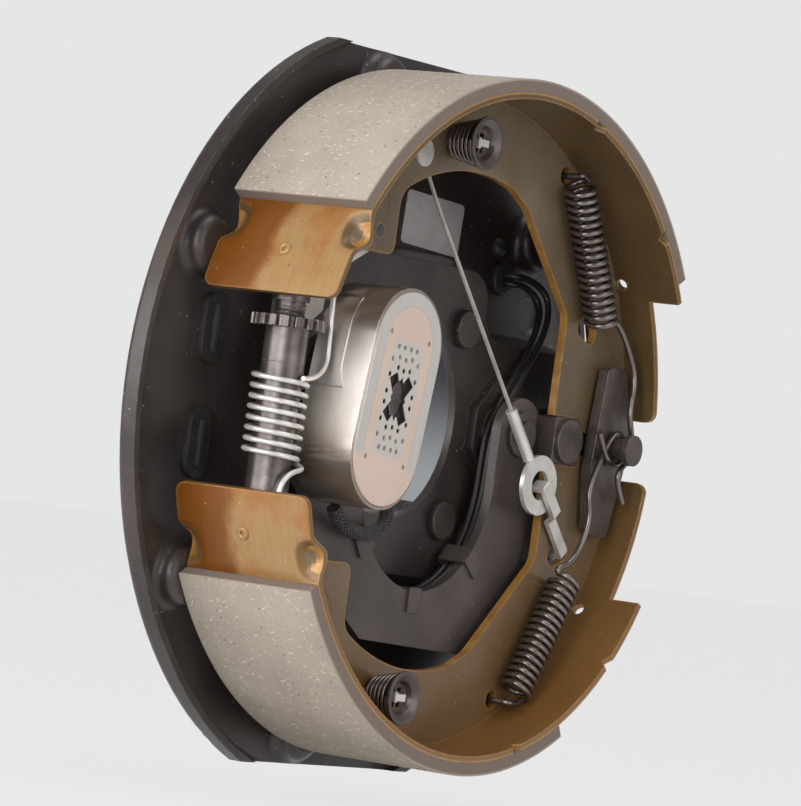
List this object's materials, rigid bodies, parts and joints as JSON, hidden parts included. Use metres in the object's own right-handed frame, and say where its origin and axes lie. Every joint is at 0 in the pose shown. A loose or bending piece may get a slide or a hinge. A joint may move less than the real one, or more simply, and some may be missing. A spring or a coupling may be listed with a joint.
{
  "type": "trailer drum brake assembly",
  "caption": "Electric drum brake for a trailer axle, shown without its drum: backing plate, two lined shoes, magnet lever, star-wheel adjuster, cable and return springs.",
  "frame": {"origin": "Centre of the spindle hole, on the face that bolts to the axle flange.", "axes": "+Y points from the open drum side to the axle flange, +X to the anchor post, -X to the star-wheel adjuster, +Z to the secondary shoe and -Z to the primary shoe."},
  "size_m": [0.2828, 0.0805, 0.2628],
  "materials": {
    "plate_paint": "satin black coating on pressed steel",
    "shoe_coating": "brown translucent coating on steel, worn at the edges",
    "lining_compound": "dark grey moulded friction compound",
    "black_oxide": "black oxide steel, slightly oily",
    "spring_wire": "dark oil-tempered spring wire",
    "bright_steel": "plain bright zinc-plated steel",
    "nickel": "nickel-plated steel",
    "friction_face": "cream moulded friction compound",
    "rubber": "black moulded rubber",
    "wire_cover": "black wire insulation and braid",
    "label": "blank paper label"
  },
  "bodies": {
    "backing": {"backing_plate": "plate_paint", "slot_plug_upper": "rubber", "slot_plug_lower": "rubber", "wire_grommet": "rubber", "hole_plug": "rubber", "blank_label": "label", "mounting_studs": "bright_steel", "anchor_post": "black_oxide", "anchor_plate": "black_oxide", "lever_pivot_post": "black_oxide", "pivot_washer": "black_oxide", "lead_sleeve": "wire_cover", "lead_wire_1": "wire_cover", "lead_wire_2": "wire_cover", "secondary_return_spring": "spring_wire", "primary_return_spring": "spring_wire", "hold_down_pins": "bright_steel", "hold_down_springs": "spring_wire", "hold_down_cups": "black_oxide", "adjuster_socket": "black_oxide", "adjuster_spring": "bright_steel"},
    "lever": {"actuating_lever": "plate_paint", "cam_block": "black_oxide", "cam_block_rivet": "black_oxide", "lead_clips": "plate_paint", "magnet_post": "black_oxide", "follower_spring": "spring_wire"},
    "magnet": {"magnet_shell": "nickel", "magnet_core": "friction_face", "magnet_clip": "bright_steel"},
    "secondary_shoe": {"secondary_web": "shoe_coating", "secondary_table": "shoe_coating", "secondary_lining": "lining_compound", "cable_guide": "bright_steel", "adjuster_lever_pin": "black_oxide", "adjuster_cable": "bright_steel", "cable_button": "bright_steel", "cable_ferrule": "bright_steel", "cable_eyelet": "bright_steel"},
    "pawl": {"adjuster_lever": "bright_steel"},
    "primary_shoe": {"primary_web": "shoe_coating", "primary_table": "shoe_coating", "primary_lining": "lining_compound", "cable_hook": "bright_steel"},
    "star": {"star_screw": "black_oxide"},
    "nut": {"adjuster_nut": "black_oxide"}
  },
  "joints": [
    {"name": "lever_swing", "type": "hinge", "parent": "backing", "child": "lever", "pos_m": [0.061, -0.016, 0], "axis": [0, 1, 0], "range_deg": [0, 4], "stiffness_Nm_per_rad": 20},
    {"name": "magnet_travel", "type": "slide", "parent": "lever", "child": "magnet", "axis": [0, 1, 0], "range_m": [0, 0.0035], "stiffness_N_per_m": 500, "springref_m": -0.004, "deforming": ["follower_spring"]},
    {"name": "primary_shoe_apply", "type": "hinge", "parent": "backing", "child": "primary_shoe", "pos_m": [-0.102, -0.02392, -0.042], "axis": [0, 1, 0], "range_deg": [0, 0.6], "stiffness_Nm_per_rad": 10},
    {"name": "star_wheel_turn", "type": "hinge", "parent": "backing", "child": "star", "pos_m": [-0.102, -0.02392, 0.0251], "axis": [0, 0, 1], "range_deg": [0, 720]},
    {"name": "adjuster_nut_slide", "type": "slide", "parent": "backing", "child": "nut", "axis": [0, 0, 1], "range_m": [0, 0.0026]},
    {"name": "secondary_shoe_spread", "type": "hinge", "parent": "backing", "child": "secondary_shoe", "pos_m": [0.105, -0.02392, 0], "axis": [0, 1, 0], "range_deg": [0, 0.713], "deforming": ["adjuster_spring"]},
    {"name": "adjuster_lever_lift", "type": "hinge", "parent": "secondary_shoe", "child": "pawl", "pos_m": [-0.057, -0.021, 0.063], "axis": [0, 1, 0], "range_deg": [0, 3.1]}
  ],
  "couplings": [
    {"joint": "primary_shoe_apply", "follows": "lever_swing", "ratio": 0.145},
    {"joint": "adjuster_lever_lift", "follows": "lever_swing", "ratio": 0.75},
    {"joint": "adjuster_nut_slide", "follows": "star_wheel_turn", "m_per_rad": 0.00020213},
    {"joint": "secondary_shoe_spread", "follows": "star_wheel_turn", "ratio": 0.00097646}
  ]
}
